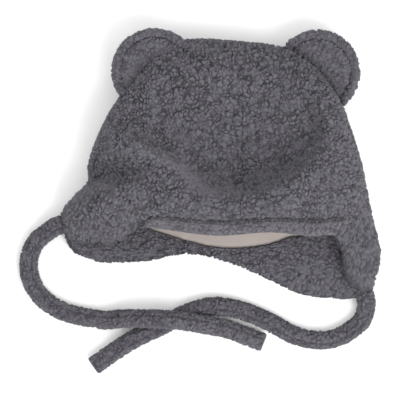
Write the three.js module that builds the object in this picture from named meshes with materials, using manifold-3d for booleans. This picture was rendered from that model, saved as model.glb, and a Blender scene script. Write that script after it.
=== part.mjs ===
// A baby hat of teddy fleece with two round ears, ear flaps and tie cords, lying on its back.
// Millimetres, +Z up. +Y runs from the mouth to the crown and +Z through the front of the hat.
// The origin is on the surface that it lies on, under the middle of its outline without the ties.
// The shell is one surface round the head: its walls are layers at a depth below that surface.

import * as THREE from "three";
import { mergeVertices } from "three/addons/utils/BufferGeometryUtils.js";
import Module from "manifold-3d";

const wasm = await Module();
wasm.setup();

// Driving dimensions of the hat as it lies
const HAT_WIDTH = 275; // from the tip of the left flap to the bulge of the right one
const HAT_LENGTH = 231; // from the top of the ears to the lowest point of the neck edge
const HAT_DEPTH = 70; // height of the puffed brow above the surface
const FLEECE = 4; // wall of the teddy fleece, pile included
const FACING = 3; // wall of the fleece facing inside the flaps and the neck
const LINING = 1; // wall of the jersey lining
const SEAM_GAP = 0.3; // between two panels that are sewn edge to edge
const LAYER_GAP = 0.8; // between two layers that lie on each other
const HEM_WIDTH = 11; // depth of the turned hem at the brow
const HEM_THICKNESS = 6.5; // the hem is the fleece turned over once

// The rounding of the lying body
const TOP_ROUNDING = 30; // reach of the rounding along the crown's top edge
const UNDERSIDE_ROUNDING = 22; // reach of the rounding where the back meets the surface
const SIDE_ROUNDING = 48; // reach of the rounding from a side crease up to the front
const TOP_EDGE_FLATNESS = 4; // how flat the crown's top edge runs between its corners

// Ears
const EAR_WIDTH = 73;
const EAR_HEIGHT = 37; // from the base chord to the top of the rim
const EAR_ROOT = 14; // depth of the ear kept behind its chord, before the crown trims it
const EAR_BACK_DEPTH = 7; // the back layer behind the seam plane
const EAR_RIM_HEIGHT = 4.8; // how far the back layer rolls over to the front
const EAR_RIM_WIDTH = 7.5; // width of that roll
const EAR_PAD_HEIGHT = 4.6; // the front layer above the seam plane

// Ties: soft tubes that lie a little flattened
const TIE_WIDTH = 17;
const TIE_HEIGHT = 11.5;
const TIE_CLEARANCE = 0.3; // between a tie and the surface that it lies on
const TIE_SIDES = 12;
const TIE_STEPS = 25;

// The seam between the two crown panels, as a place round the loop
const SEAM_TURN = 0.2685;
// The hem runs along the front edge between these places
const HEM_FROM_TURN = 0.19;
const HEM_TO_TURN = 0.392;
// Places between which the crown's edge steps from the hem down to the flap
const HEM_STEP_TURN = 0.002;

// Body sections from the crown's top edge (v 0) to the mouth (v 1). left, right and their Y are the side
// creases, middle the Y at the middle of the front. X is a share of HAT_WIDTH and Y of HAT_LENGTH.
// crease and top are heights as shares of HAT_DEPTH.
const SECTIONS = [
  { v: 0.0, left: -0.257, leftY: 0.326, right: 0.35, rightY: 0.267, middle: 0.446, crease: 0.29, top: 0.6 },
  { v: 0.1, left: -0.307, leftY: 0.244, right: 0.382, rightY: 0.207, middle: 0.374, crease: 0.29, top: 0.67 },
  { v: 0.25, left: -0.35, leftY: 0.167, right: 0.403, rightY: 0.141, middle: 0.267, crease: 0.29, top: 0.76 },
  { v: 0.45, left: -0.388, leftY: 0.067, right: 0.432, rightY: 0.037, middle: 0.126, crease: 0.29, top: 0.82 },
  { v: 0.62, left: -0.41, leftY: -0.015, right: 0.449, rightY: -0.037, middle: 0.004, crease: 0.28, top: 0.86 },
  { v: 0.76, left: -0.414, leftY: -0.081, right: 0.461, rightY: -0.111, middle: -0.096, crease: 0.26, top: 0.92 },
  { v: 0.86, left: -0.472, leftY: -0.15, right: 0.482, rightY: -0.222, middle: -0.167, crease: 0.22, top: 0.92 },
  { v: 0.93, left: -0.494, leftY: -0.189, right: 0.505, rightY: -0.34, middle: -0.219, crease: 0.19, top: 0.84 },
  { v: 1.0, left: -0.497, leftY: -0.241, right: 0.478, rightY: -0.487, middle: -0.267, crease: 0.18, top: 0.7 },
];

// The mouth's edge round the loop, from the left flap's tip (turn 0) along the front to the right flap's
// tip (turn 0.5) and back along the neck. Shares as in SECTIONS.
const MOUTH = [
  { turn: 0.0, x: -0.497, y: -0.241, z: 0.18 },
  { turn: 0.05, x: -0.472, y: -0.285, z: 0.3 },
  { turn: 0.1, x: -0.413, y: -0.302, z: 0.27 },
  { turn: 0.145, x: -0.32, y: -0.303, z: 0.29 },
  { turn: 0.175, x: -0.272, y: -0.265, z: 0.38 },
  { turn: 0.2, x: -0.225, y: -0.248, z: 0.55 },
  { turn: 0.25, x: -0.016, y: -0.276, z: 0.7 },
  { turn: 0.3, x: 0.15, y: -0.264, z: 0.73 },
  { turn: 0.35, x: 0.277, y: -0.277, z: 0.69 },
  { turn: 0.39, x: 0.357, y: -0.277, z: 0.64 },
  { turn: 0.425, x: 0.385, y: -0.326, z: 0.52 },
  { turn: 0.46, x: 0.398, y: -0.42, z: 0.38 },
  { turn: 0.482, x: 0.43, y: -0.476, z: 0.28 },
  { turn: 0.5, x: 0.478, y: -0.492, z: 0.18 },
  { turn: 0.53, x: 0.44, y: -0.509, z: 0.05 },
  { turn: 0.57, x: 0.36, y: -0.511, z: 0.0 },
  { turn: 0.62, x: 0.248, y: -0.49, z: 0.0 },
  { turn: 0.68, x: 0.107, y: -0.412, z: 0.0 },
  { turn: 0.74, x: -0.026, y: -0.356, z: 0.0 },
  { turn: 0.78, x: -0.111, y: -0.344, z: 0.0 },
  { turn: 0.84, x: -0.235, y: -0.37, z: 0.0 },
  { turn: 0.9, x: -0.37, y: -0.374, z: 0.0 },
  { turn: 0.95, x: -0.467, y: -0.33, z: 0.04 },
  { turn: 1.0, x: -0.497, y: -0.241, z: 0.18 },
];
// From here on the sections are pulled to the mouth's edge
const PULL_SHARE = 0.68;
const PULL_POWER = 1.5;

// The upper edge of the facing and the hem round the loop, as a place between crown (0) and mouth (1)
const FACING_TOP = [
  { turn: 0.0, v: 0.9 },
  { turn: 0.1, v: 0.89 },
  { turn: 0.19, v: 0.92 },
  { turn: 0.29, v: 0.92 },
  { turn: 0.392, v: 0.92 },
  { turn: 0.45, v: 0.89 },
  { turn: 0.5, v: 0.875 },
  { turn: 0.58, v: 0.865 },
  { turn: 0.65, v: 0.893 },
  { turn: 0.68, v: 0.928 },
  { turn: 0.72, v: 0.962 },
  { turn: 0.75, v: 0.97 },
  { turn: 0.78, v: 0.955 },
  { turn: 0.82, v: 0.91 },
  { turn: 0.86, v: 0.866 },
  { turn: 0.93, v: 0.885 },
  { turn: 1.0, v: 0.9 },
];

// Folds of the front: a stroke through plan points, shares of HAT_WIDTH and HAT_LENGTH. rise is a share of
// HAT_DEPTH, up for a ridge and down for a valley. The two reaches are shares of HAT_WIDTH: how far the
// stroke spreads to its left and to its right, walking from its first point to its last.
const FOLDS = [
  {
    name: "brow valley",
    rise: -0.2,
    leftReach: 0.1,
    rightReach: 0.034,
    path: [[-0.25, 0.105], [-0.185, 0.078], [-0.123, 0.033], [-0.073, -0.033], [-0.033, -0.074],
      [0.02, -0.093], [0.104, -0.067], [0.179, -0.03], [0.235, 0.022], [0.273, 0.078],
      [0.282, 0.141], [0.26, 0.226]],
  },
  {
    name: "brow roll",
    rise: 0.13,
    leftReach: 0.034,
    rightReach: 0.085,
    path: [[-0.061, -0.141], [0.02, -0.156], [0.126, -0.13], [0.213, -0.089], [0.282, -0.026],
      [0.329, 0.052], [0.338, 0.145], [0.313, 0.256]],
  },
  {
    name: "left ridge",
    rise: 0.17,
    leftReach: 0.03,
    rightReach: 0.06,
    path: [[-0.335, 0.1], [-0.273, 0.07], [-0.226, 0.037], [-0.164, -0.015], [-0.117, -0.082],
      [-0.073, -0.13]],
  },
  {
    name: "crown dish",
    rise: -0.22,
    leftReach: 0.19,
    rightReach: 0.19,
    path: [[-0.07, 0.11], [0.06, 0.09], [0.19, 0.11]],
  },
  {
    name: "left pocket",
    rise: -0.26,
    leftReach: 0.06,
    rightReach: 0.026,
    path: [[-0.44, -0.09], [-0.385, -0.06], [-0.33, -0.045], [-0.28, -0.045]],
  },
  {
    name: "flap roll",
    rise: 0.1,
    leftReach: 0.035,
    rightReach: 0.06,
    path: [[-0.46, -0.15], [-0.4, -0.12], [-0.34, -0.11], [-0.25, -0.12], [-0.18, -0.15]],
  },
  {
    name: "flap crease",
    rise: -0.08,
    leftReach: 0.025,
    rightReach: 0.03,
    path: [[-0.3, -0.13], [-0.285, -0.18], [-0.255, -0.24]],
  },
  {
    name: "right flap",
    rise: -0.18,
    leftReach: 0.07,
    rightReach: 0.08,
    path: [[0.39, -0.12], [0.42, -0.22], [0.43, -0.33], [0.44, -0.43]],
  },
];
const FOLD_STEPS = 20;
const FOLD_END_SHARE = 0.08; // share of a half wave that a fold starts and ends at
const FOLD_SIDE_RATE = 2.2; // how soon the folds come up from the side creases
const FOLD_TOP_SHARE = 0.12; // the folds are full from this place below the top edge

// Each tie's centre line from the flap's tip to the sewn end, laid by hand. x and y are shares of HAT_WIDTH
// and HAT_LENGTH, lift is the height above lying flat as a share of TIE_HEIGHT. The left tie crosses over.
const TIE_LEFT = [
  { x: -0.507, y: -0.241, lift: 0.48 },
  { x: -0.527, y: -0.253, lift: 0.34 },
  { x: -0.581, y: -0.307, lift: 0.0 },
  { x: -0.601, y: -0.393, lift: 0.0 },
  { x: -0.573, y: -0.491, lift: 0.0 },
  { x: -0.494, y: -0.561, lift: 0.0 },
  { x: -0.375, y: -0.593, lift: 0.06 },
  { x: -0.313, y: -0.59, lift: 0.36 },
  { x: -0.255, y: -0.587, lift: 0.83 },
  { x: -0.139, y: -0.593, lift: 1.04 },
  { x: -0.022, y: -0.616, lift: 0.5 },
  { x: 0.036, y: -0.633, lift: 0.12 },
  { x: 0.14, y: -0.68, lift: 0.0 },
];
const TIE_RIGHT = [
  { x: 0.461, y: -0.516, lift: 0.25 },
  { x: 0.463, y: -0.534, lift: 0.25 },
  { x: 0.459, y: -0.563, lift: 0.04 },
  { x: 0.439, y: -0.609, lift: 0.0 },
  { x: 0.357, y: -0.666, lift: 0.0 },
  { x: 0.252, y: -0.658, lift: 0.0 },
  { x: 0.132, y: -0.587, lift: 0.0 },
  { x: 0.023, y: -0.546, lift: 0.0 },
  { x: -0.07, y: -0.554, lift: 0.0 },
  { x: -0.201, y: -0.627, lift: 0.0 },
  { x: -0.292, y: -0.682, lift: 0.0 },
  { x: -0.398, y: -0.768, lift: 0.0 },
];

// Ears: where each base chord's middle sits, which way the ear points and how it leans.
// x and y are shares of HAT_WIDTH and HAT_LENGTH, z is a share of HAT_DEPTH.
const EARS = [
  { side: "left", x: -0.203, y: 0.333, z: 0.47, points: 127, lean: -8 },
  { side: "right", x: 0.305, y: 0.33, z: 0.3, points: 39, lean: 3 },
];

// Mesh counts
const ROWS = 21;
const PANEL_COLUMNS_LEFT = 24;
const PANEL_COLUMNS_RIGHT = 22;
const EAR_SEGMENTS = 24;
const ROUNDED_ROWS_SHARE = 0.25; // share of the rows that the rounding of the top edge gets
const TRIM_SHARE = 0.7; // the crown trims the ears down to this place

const lerp = THREE.MathUtils.lerp;
const clamp = THREE.MathUtils.clamp;

// A smooth curve through one column of a table, read at a place in another column.
function read(rows, at, column, place) {
  let i = 0;
  while (i < rows.length - 2 && rows[i + 1][at] < place) i++;
  const slope = (k) => {
    const a = rows[Math.max(k - 1, 0)];
    const b = rows[Math.min(k + 1, rows.length - 1)];
    return (b[column] - a[column]) / (b[at] - a[at]);
  };
  const span = rows[i + 1][at] - rows[i][at];
  const t = clamp((place - rows[i][at]) / span, 0, 1);
  const rise = rows[i + 1][column] - rows[i][column];
  const bend = (slope(i) * (1 - t) - slope(i + 1) * t) * span - rise * (1 - 2 * t);
  return rows[i][column] + rise * t + t * (1 - t) * bend;
}

// A quarter round: 1 at distance 0, falling to 0 at the end of its reach.
function rounding(distance, reach) {
  const left = Math.max(0, 1 - distance / reach);
  return 1 - Math.sqrt(1 - left * left);
}

// Each fold's path in plan, as points close together
const strokes = FOLDS.map((fold) => {
  const points = fold.path.map(([x, y]) => new THREE.Vector2(x * HAT_WIDTH, y * HAT_LENGTH));
  return new THREE.SplineCurve(points).getPoints(FOLD_STEPS);
});

// How far one fold lifts the plan point (x, y). side runs from -1 on the stroke's right to 1 on its left.
function foldAt(fold, stroke, x, y) {
  let nearest = Infinity;
  let side = 0;
  let place = 0;
  for (let k = 0; k < FOLD_STEPS; k++) {
    const a = stroke[k];
    const b = stroke[k + 1];
    const dx = b.x - a.x;
    const dy = b.y - a.y;
    const t = clamp(((x - a.x) * dx + (y - a.y) * dy) / (dx * dx + dy * dy), 0, 1);
    const away = Math.hypot(x - a.x - t * dx, y - a.y - t * dy);
    if (away < nearest) {
      nearest = away;
      side = (dx * (y - a.y) - dy * (x - a.x)) / Math.max(away * Math.hypot(dx, dy), 1e-9);
      place = (k + t) / FOLD_STEPS;
    }
  }
  const reach = lerp(fold.rightReach, fold.leftReach, (side + 1) / 2) * HAT_WIDTH;
  const fade = Math.sqrt(Math.sin(Math.PI * lerp(FOLD_END_SHARE, 1 - FOLD_END_SHARE, place)));
  return fold.rise * HAT_DEPTH * fade * Math.exp(-((nearest / reach) ** 2));
}

// A point of the body's sections. turn goes round the loop: 0 the left crease, 0.25 the middle of the
// front, 0.5 the right crease, 0.75 the middle of the back. v runs from the crown's top edge to the mouth.
function sectionPoint(turn, v) {
  const column = (name) => read(SECTIONS, "v", name, v);
  const across = (1 - Math.cos(2 * Math.PI * turn)) / 2;
  const left = column("left") * HAT_WIDTH;
  const right = column("right") * HAT_WIDTH;
  const leftY = column("leftY");
  const rightY = column("rightY");
  const bow = 1 - Math.abs(2 * across - 1) ** TOP_EDGE_FLATNESS;
  const y = (lerp(leftY, rightY, across) + (column("middle") - (leftY + rightY) / 2) * bow) * HAT_LENGTH;
  const crease = column("crease") * HAT_DEPTH;
  const fromTop = v * (SECTIONS[0].middle - SECTIONS.at(-1).middle) * HAT_LENGTH;
  const fromSide = Math.min(across, 1 - across) * (right - left);
  const rounded = (sideReach, topReach) =>
    (1 - rounding(fromSide, sideReach)) * (1 - rounding(fromTop, topReach));
  const z =
    turn <= 0.5
      ? lerp(crease, column("top") * HAT_DEPTH, rounded(SIDE_ROUNDING, TOP_ROUNDING))
      : lerp(crease, 0, rounded(UNDERSIDE_ROUNDING, UNDERSIDE_ROUNDING));
  return new THREE.Vector3(lerp(left, right, across), y, z);
}

function mouthPoint(turn) {
  return new THREE.Vector3(
    read(MOUTH, "turn", "x", turn) * HAT_WIDTH,
    read(MOUTH, "turn", "y", turn) * HAT_LENGTH,
    Math.max(0, read(MOUTH, "turn", "z", turn)) * HAT_DEPTH,
  );
}

// A point of the hat's outer surface.
function surfacePoint(place, v) {
  const turn = place - Math.floor(place);
  const point = sectionPoint(turn, v);
  const pull = Math.max(0, (v - PULL_SHARE) / (1 - PULL_SHARE)) ** PULL_POWER;
  if (pull > 0) point.addScaledVector(mouthPoint(turn).sub(sectionPoint(turn, 1)), pull);
  if (turn < 0.5) {
    const hold = Math.min(1, FOLD_SIDE_RATE * Math.sin(2 * Math.PI * turn));
    const lift = FOLDS.reduce((sum, fold, k) => sum + foldAt(fold, strokes[k], point.x, point.y), 0);
    point.z += hold * lift * Math.min(1, v / FOLD_TOP_SHARE);
  }
  return point;
}

// Places along a column from v 0, close together in the rounding of the top edge.
function spacing(count) {
  const rounded = Math.round(count * ROUNDED_ROWS_SHARE);
  const length = (SECTIONS[0].middle - SECTIONS.at(-1).middle) * HAT_LENGTH;
  const reach = TOP_ROUNDING / length;
  return Array.from({ length: count + 1 }, (_, i) =>
    i <= rounded
      ? reach * (1 - Math.cos((i / rounded) * (Math.PI / 2)))
      : lerp(reach, 1, (i - rounded) / (count - rounded)),
  );
}

// The outward normal of the outer surface
function surfaceNormal(turn, v) {
  const step = 0.002;
  const low = clamp(v, step, 1);
  const along = surfacePoint(turn, low).sub(surfacePoint(turn, low - step));
  const round = surfacePoint(turn + step, low).sub(surfacePoint(turn - step, low));
  return along.cross(round).normalize();
}

// A grid of points and outward normals of the outer surface, a column for each turn. Front and back share
// the crown's top edge, and so its normals.
function surfaceGrid(turns, rowsAt) {
  return turns.map((turn) =>
    rowsAt(turn).map((v) => {
      const normal = surfaceNormal(turn, v);
      if (v === 0) normal.add(surfaceNormal(1 - turn, v)).normalize();
      return { v, point: surfacePoint(turn, v), normal };
    }),
  );
}

// Collects triangles and merges corners that share a place.
class Skin {
  constructor() {
    this.places = new Map();
    this.positions = [];
    this.triangles = [];
  }
  corner(p) {
    const key = [p.x, p.y, p.z].map((value) => Math.round(value * 1000)).join(",");
    if (!this.places.has(key)) {
      this.places.set(key, this.positions.length / 3);
      this.positions.push(p.x, p.y, p.z);
    }
    return this.places.get(key);
  }
  triangle(a, b, c) {
    const [i, j, k] = [a, b, c].map((p) => this.corner(p));
    if (i !== j && j !== k && k !== i) this.triangles.push(i, j, k);
  }
  quad(a, b, c, d) {
    this.triangle(a, b, c);
    this.triangle(a, c, d);
  }
  geometry() {
    return new THREE.BufferGeometry()
      .setAttribute("position", new THREE.Float32BufferAttribute(this.positions, 3))
      .setIndex(this.triangles);
  }
}

// A wall between two depths below the outer surface. It is closed at the crown's top edge where its
// columns start at v 0, and round the head where closed is true.
function wall(grid, outerDepth, innerDepth, closed = false) {
  const at = (depth) =>
    grid.map((column) => column.map((cell) => cell.point.clone().addScaledVector(cell.normal, -depth)));
  const outer = at(outerDepth);
  const inner = at(innerDepth);
  const skin = new Skin();
  const last = grid[0].length - 1;
  const strips = closed ? grid.length : grid.length - 1;
  for (let j = 0; j < strips; j++) {
    const next = (j + 1) % grid.length;
    for (let i = 0; i < last; i++) {
      skin.quad(outer[j][i], outer[j][i + 1], outer[next][i + 1], outer[next][i]);
      skin.quad(inner[j][i], inner[next][i], inner[next][i + 1], inner[j][i + 1]);
    }
    skin.quad(outer[j][last], inner[j][last], inner[next][last], outer[next][last]);
    if (grid[0][0].v > 0) skin.quad(outer[j][0], outer[next][0], inner[next][0], inner[j][0]);
  }
  if (!closed)
    for (let i = 0; i < last; i++) {
      const end = grid.length - 1;
      skin.quad(outer[0][i], inner[0][i], inner[0][i + 1], outer[0][i + 1]);
      skin.quad(outer[end][i], outer[end][i + 1], inner[end][i + 1], inner[end][i]);
    }
  return skin.geometry();
}

function even(from, to, count) {
  return Array.from({ length: count + 1 }, (_, i) => lerp(from, to, i / count));
}

// Even steps from the first stop to the last, with a step's end on each stop between
function through(stops, count) {
  const whole = stops.at(-1) - stops[0];
  const parts = stops.slice(1).map((stop, k) => {
    const share = Math.max(1, Math.round((count * (stop - stops[k])) / whole));
    return even(stops[k], stop, share).slice(1);
  });
  return [stops[0], ...parts.flat()];
}

const materials = {
  fleece: new THREE.MeshStandardMaterial({ color: 0x5c5a62, roughness: 0.95, metalness: 0 }),
  hem: new THREE.MeshStandardMaterial({ color: 0x6b666c, roughness: 0.9, metalness: 0 }),
  lining: new THREE.MeshStandardMaterial({ color: 0xcfc6c0, roughness: 0.85, metalness: 0 }),
};

const hat = new THREE.Group();

function add(name, geometry, material) {
  const mesh = new THREE.Mesh(geometry, material);
  mesh.name = name;
  hat.add(mesh);
  return mesh;
}

// The crown panels, flaps included. Their front edge stops above the hem.
const bodyLength = (SECTIONS[0].middle - SECTIONS.at(-1).middle) * HAT_LENGTH;
const hemTop = 1 - HEM_WIDTH / bodyLength;
const seamShare = SEAM_GAP / 2 / (Math.PI * HAT_WIDTH);
const layerShare = LAYER_GAP / bodyLength;

function crownEnd(place) {
  const turn = place - Math.floor(place);
  const inHem = Math.min((turn - HEM_FROM_TURN) / HEM_STEP_TURN, (HEM_TO_TURN - turn) / HEM_STEP_TURN) + 2;
  return lerp(1, hemTop - 2 * layerShare, clamp(inHem, 0, 1));
}

// Every layer uses the same rows and columns, cut off where it begins and ends.
const rows = spacing(ROWS);
const rowsTo = (end) => (turn) => rows.map((v) => Math.min(v, end(turn)));
const rowsFrom = (start) => (turn) => rows.map((v) => Math.max(v, start(turn)));
const leftEdge = SEAM_TURN - seamShare;
const rightEdge = SEAM_TURN + seamShare;
const leftStep = [HEM_FROM_TURN - 2 * HEM_STEP_TURN, HEM_FROM_TURN - HEM_STEP_TURN];
const rightStep = [HEM_TO_TURN + HEM_STEP_TURN, HEM_TO_TURN + 2 * HEM_STEP_TURN];
const mirrored = (stops, about) => stops.map((stop) => about - stop).reverse();
const leftTurns = through(
  [-leftEdge, ...mirrored(leftStep, 0), 0, ...leftStep, leftEdge],
  PANEL_COLUMNS_LEFT,
);
const rightTurns = through(
  [rightEdge, ...rightStep, 0.5, ...mirrored(rightStep, 1), 1 - rightEdge],
  PANEL_COLUMNS_RIGHT,
);
const crownRows = rowsTo(crownEnd);
add("crown_left", wall(surfaceGrid(leftTurns, crownRows), 0, FLEECE), materials.fleece);
add("crown_right", wall(surfaceGrid(rightTurns, crownRows), 0, FLEECE), materials.fleece);

// The turned hem along the brow
const loopTurns = [...leftTurns, ...rightTurns];
const loopFrom = (from, to) => [from, ...loopTurns.filter((turn) => turn > from && turn < to), to];
const hemTurns = loopFrom(HEM_FROM_TURN, HEM_TO_TURN);
const hemRows = rowsFrom(() => hemTop);
add("brow_hem", wall(surfaceGrid(hemTurns, hemRows), 0, HEM_THICKNESS), materials.hem);

// The facing inside the flaps and the neck
const facingOuter = FLEECE + LAYER_GAP;
const bandTop = (place) => read(FACING_TOP, "turn", "v", place - Math.floor(place));
const facingTurns = [
  ...loopFrom(HEM_TO_TURN + 2 * HEM_STEP_TURN, 1 - leftEdge),
  ...loopFrom(-leftEdge, HEM_FROM_TURN - 2 * HEM_STEP_TURN).slice(1),
];
const facingRows = rowsFrom(bandTop);
add(
  "flap_facing",
  wall(surfaceGrid(facingTurns, facingRows), facingOuter, facingOuter + FACING),
  materials.fleece,
);

// The lining, down to the facing and the hem
const liningEnd = (turn) => bandTop(turn) - 2 * layerShare;
const liningRows = rowsTo(liningEnd);
add(
  "lining",
  wall(surfaceGrid(loopTurns, liningRows), facingOuter, facingOuter + LINING, true),
  materials.lining,
);

// Solids for cutting
function solidOf(geometry) {
  const bare = geometry.index ? geometry.toNonIndexed() : geometry.clone();
  bare.deleteAttribute("normal");
  bare.deleteAttribute("uv");
  const merged = mergeVertices(bare, 1e-3);
  const vertProperties = merged.attributes.position.array;
  const triVerts = new Uint32Array(merged.index.array);
  return new wasm.Manifold(new wasm.Mesh({ numProp: 3, vertProperties, triVerts }));
}

function geometryOf(solid) {
  const mesh = solid.getMesh();
  return new THREE.BufferGeometry()
    .setAttribute("position", new THREE.Float32BufferAttribute(mesh.vertProperties, 3))
    .setIndex(Array.from(mesh.triVerts));
}

// The closed body of the crown, a seam's gap larger, which trims what is sewn onto it
function crownBody() {
  const grid = surfaceGrid(loopTurns, rowsTo(() => TRIM_SHARE));
  const skin = new Skin();
  const grown = grid.map((column) =>
    column.map((cell) => cell.point.clone().addScaledVector(cell.normal, SEAM_GAP)),
  );
  const last = rows.length - 1;
  const middle = grown
    .reduce((sum, column) => sum.add(column[last]), new THREE.Vector3())
    .divideScalar(grown.length);
  grown.forEach((column, j) => {
    const next = grown[(j + 1) % grown.length];
    for (let i = 0; i < last; i++) skin.quad(column[i], column[i + 1], next[i + 1], next[i]);
    skin.triangle(column[last], middle, next[last]);
  });
  return solidOf(skin.geometry());
}

// Ear layers as profiles (radius, height) from axis to axis, about the seam plane
const earRadius = EAR_WIDTH / 2;
const padRadius = earRadius - EAR_RIM_WIDTH;
const EAR_BACK_PROFILE = [
  [0, -EAR_BACK_DEPTH],
  [earRadius * 0.5, -EAR_BACK_DEPTH * 0.98],
  [earRadius * 0.8, -EAR_BACK_DEPTH * 0.78],
  [earRadius * 0.95, -EAR_BACK_DEPTH * 0.4],
  [earRadius, EAR_RIM_HEIGHT * 0.1],
  [earRadius - EAR_RIM_WIDTH * 0.1, EAR_RIM_HEIGHT * 0.65],
  [earRadius - EAR_RIM_WIDTH * 0.45, EAR_RIM_HEIGHT],
  [earRadius - EAR_RIM_WIDTH * 0.8, EAR_RIM_HEIGHT * 0.8],
  [padRadius, EAR_RIM_HEIGHT * 0.3],
  [padRadius - EAR_RIM_WIDTH * 0.07, 0],
  [0, 0],
];
const EAR_PAD_PROFILE = [
  [0, SEAM_GAP],
  [padRadius - EAR_RIM_WIDTH * 0.16, SEAM_GAP],
  [padRadius - EAR_RIM_WIDTH * 0.07, EAR_RIM_HEIGHT * 0.4],
  [padRadius - EAR_RIM_WIDTH * 0.19, EAR_PAD_HEIGHT * 0.8],
  [padRadius * 0.8, EAR_PAD_HEIGHT],
  [padRadius * 0.4, EAR_PAD_HEIGHT * 0.86],
  [0, EAR_PAD_HEIGHT * 0.8],
];

// One ear layer: a turned disc, drawn out to the ear's height, set on the crown and trimmed by it.
function earLayer(profile, ear, body) {
  const disc = new THREE.LatheGeometry(
    profile.map(([radius, height]) => new THREE.Vector2(radius, height)),
    EAR_SEGMENTS,
  );
  disc.rotateX(Math.PI / 2);
  disc.scale(1, EAR_HEIGHT / earRadius, 1);
  const keep = new THREE.BoxGeometry(EAR_WIDTH * 2, EAR_HEIGHT + EAR_ROOT, HAT_DEPTH);
  keep.translate(0, (EAR_HEIGHT - EAR_ROOT) / 2, 0);
  const place = new THREE.Matrix4().makeTranslation(
    ear.x * HAT_WIDTH,
    ear.y * HAT_LENGTH,
    ear.z * HAT_DEPTH,
  );
  place.multiply(new THREE.Matrix4().makeRotationZ(THREE.MathUtils.degToRad(ear.points - 90)));
  place.multiply(new THREE.Matrix4().makeRotationX(THREE.MathUtils.degToRad(ear.lean)));
  const solids = [disc, keep].map((geometry) => solidOf(geometry.applyMatrix4(place)));
  return geometryOf(solids[0].intersect(solids[1]).subtract(body));
}

const body = crownBody();
for (const ear of EARS) {
  add(`ear_${ear.side}_back`, earLayer(EAR_BACK_PROFILE, ear, body), materials.fleece);
  add(`ear_${ear.side}_front`, earLayer(EAR_PAD_PROFILE, ear, body), materials.fleece);
}

// The ties: the section's height is along the path's normal, which starts upright
function tie(route) {
  const section = new THREE.Shape().absellipse(0, 0, TIE_HEIGHT / 2, TIE_WIDTH / 2, 0, 2 * Math.PI);
  const points = route.map(({ x, y, lift }) => {
    const height = TIE_HEIGHT * (0.5 + lift) + TIE_CLEARANCE;
    return new THREE.Vector3(x * HAT_WIDTH, y * HAT_LENGTH, height);
  });
  return new THREE.ExtrudeGeometry(section, {
    steps: TIE_STEPS,
    curveSegments: TIE_SIDES / 2,
    extrudePath: new THREE.CatmullRomCurve3(points, false, "centripetal"),
  });
}

add("tie_left", tie(TIE_LEFT), materials.fleece);
add("tie_right", tie(TIE_RIGHT), materials.fleece);

// The origin is under the middle of the hat, its ties left out
hat.updateMatrixWorld(true);
const bounds = new THREE.Box3();
const parts = hat.children.filter((mesh) => !mesh.name.startsWith("tie"));
parts.forEach((mesh) => bounds.expandByObject(mesh));
const middle = bounds.getCenter(new THREE.Vector3());
hat.children.forEach((mesh) => mesh.geometry.translate(-middle.x, -middle.y, -bounds.min.z));

export default hat;
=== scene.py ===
"""A baby hat of curly teddy fleece with two round ears, ear flaps and soft ties, lying on its back.

Lengths are in millimetres until a mesh is made, and then in metres. The shell is one surface round the
head: turn goes round it (0 the left crease, 0.25 the middle of the front, 0.5 the right crease, 0.75 the
middle of the back) and v runs from the crown's top edge to the mouth. Every cloth layer lies at a depth
below that surface.
"""

import math
from itertools import product

import bmesh
import bpy
import numpy as np
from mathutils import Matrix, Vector
from mathutils.kdtree import KDTree


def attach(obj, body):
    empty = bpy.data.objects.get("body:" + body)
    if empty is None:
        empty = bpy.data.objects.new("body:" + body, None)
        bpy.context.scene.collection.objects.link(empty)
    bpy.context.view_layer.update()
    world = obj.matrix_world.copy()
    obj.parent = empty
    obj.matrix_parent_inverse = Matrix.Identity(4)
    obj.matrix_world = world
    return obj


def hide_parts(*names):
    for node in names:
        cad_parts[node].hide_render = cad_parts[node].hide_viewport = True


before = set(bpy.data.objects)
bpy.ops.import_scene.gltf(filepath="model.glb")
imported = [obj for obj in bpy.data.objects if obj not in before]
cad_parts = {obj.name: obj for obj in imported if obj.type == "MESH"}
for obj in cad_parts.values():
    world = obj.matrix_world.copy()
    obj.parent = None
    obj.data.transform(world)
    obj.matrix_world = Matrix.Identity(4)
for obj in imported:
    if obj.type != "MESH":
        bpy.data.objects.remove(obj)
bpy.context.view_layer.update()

bl_info = {
    "name": "Baby hat with ears",
    "version": (1, 0, 0),
    "blender": (4, 5, 0),
    "location": "3D View > Sidebar > Hat",
    "description": "Builds a teddy-fleece baby hat with ears, flaps and ties",
    "category": "Object",
}

MM = 0.001
BODY = "root"

# Shape of the lying hat, the same tables as the solids have. X is a share of the hat's width, Y of its
# length and heights of its depth.
SECTIONS = {
    "v": [0.0, 0.1, 0.25, 0.45, 0.62, 0.76, 0.86, 0.93, 1.0],
    "left": [-0.257, -0.307, -0.35, -0.388, -0.41, -0.414, -0.472, -0.494, -0.497],
    "leftY": [0.326, 0.244, 0.167, 0.067, -0.015, -0.081, -0.15, -0.189, -0.241],
    "right": [0.35, 0.382, 0.403, 0.432, 0.449, 0.461, 0.482, 0.505, 0.478],
    "rightY": [0.267, 0.207, 0.141, 0.037, -0.037, -0.111, -0.222, -0.34, -0.487],
    "middle": [0.446, 0.374, 0.267, 0.126, 0.004, -0.096, -0.167, -0.219, -0.267],
    "crease": [0.29, 0.29, 0.29, 0.29, 0.28, 0.26, 0.22, 0.19, 0.18],
    "top": [0.6, 0.67, 0.76, 0.82, 0.86, 0.92, 0.92, 0.84, 0.7],
}
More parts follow.
